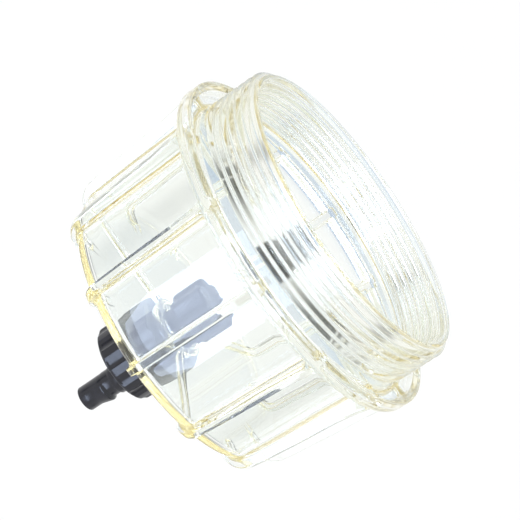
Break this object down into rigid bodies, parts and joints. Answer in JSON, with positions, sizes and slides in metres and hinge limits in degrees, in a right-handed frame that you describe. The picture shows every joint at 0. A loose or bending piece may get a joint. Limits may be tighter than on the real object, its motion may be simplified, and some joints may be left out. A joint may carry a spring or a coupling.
{
  "type": "coolant filter bowl",
  "caption": "Clear ribbed screw-in collection bowl with a flanged threaded neck and a black hand-turned drain valve with hose nipple.",
  "frame": {"origin": "on the bowl's axis in the plane of the flange's front rim, where the thread of the neck begins", "axes": "+Z along the bowl's axis out of the mouth, +X through one rib, the drain nipple is offset towards +Y"},
  "size_m": [0.1099, 0.11, 0.1033],
  "materials": {
    "clear_plastic": "clear, faintly yellow, polished",
    "black_plastic": "black, glossy",
    "seal_rubber": "black nitrile rubber, satin"
  },
  "bodies": {
    "bowl": {"bowl": "clear_plastic"},
    "seals": {"upper_seal": "seal_rubber", "stem_seal": "seal_rubber"},
    "valve": {"drain_valve": "black_plastic", "inner_cap": "black_plastic"}
  },
  "joints": [
    {"name": "drain_travel", "type": "slide", "parent": "bowl", "child": "seals", "axis": [0, 0, -1], "range_m": [0, 0.002]},
    {"name": "drain_turn", "type": "hinge", "parent": "seals", "child": "valve", "pos_m": [0, 0, -0.0555], "axis": [0, 0, -1], "range_deg": [0, 360]}
  ],
  "couplings": [
    {"joint": "drain_turn", "follows": "drain_travel", "rad_per_m": 3141.6}
  ]
}
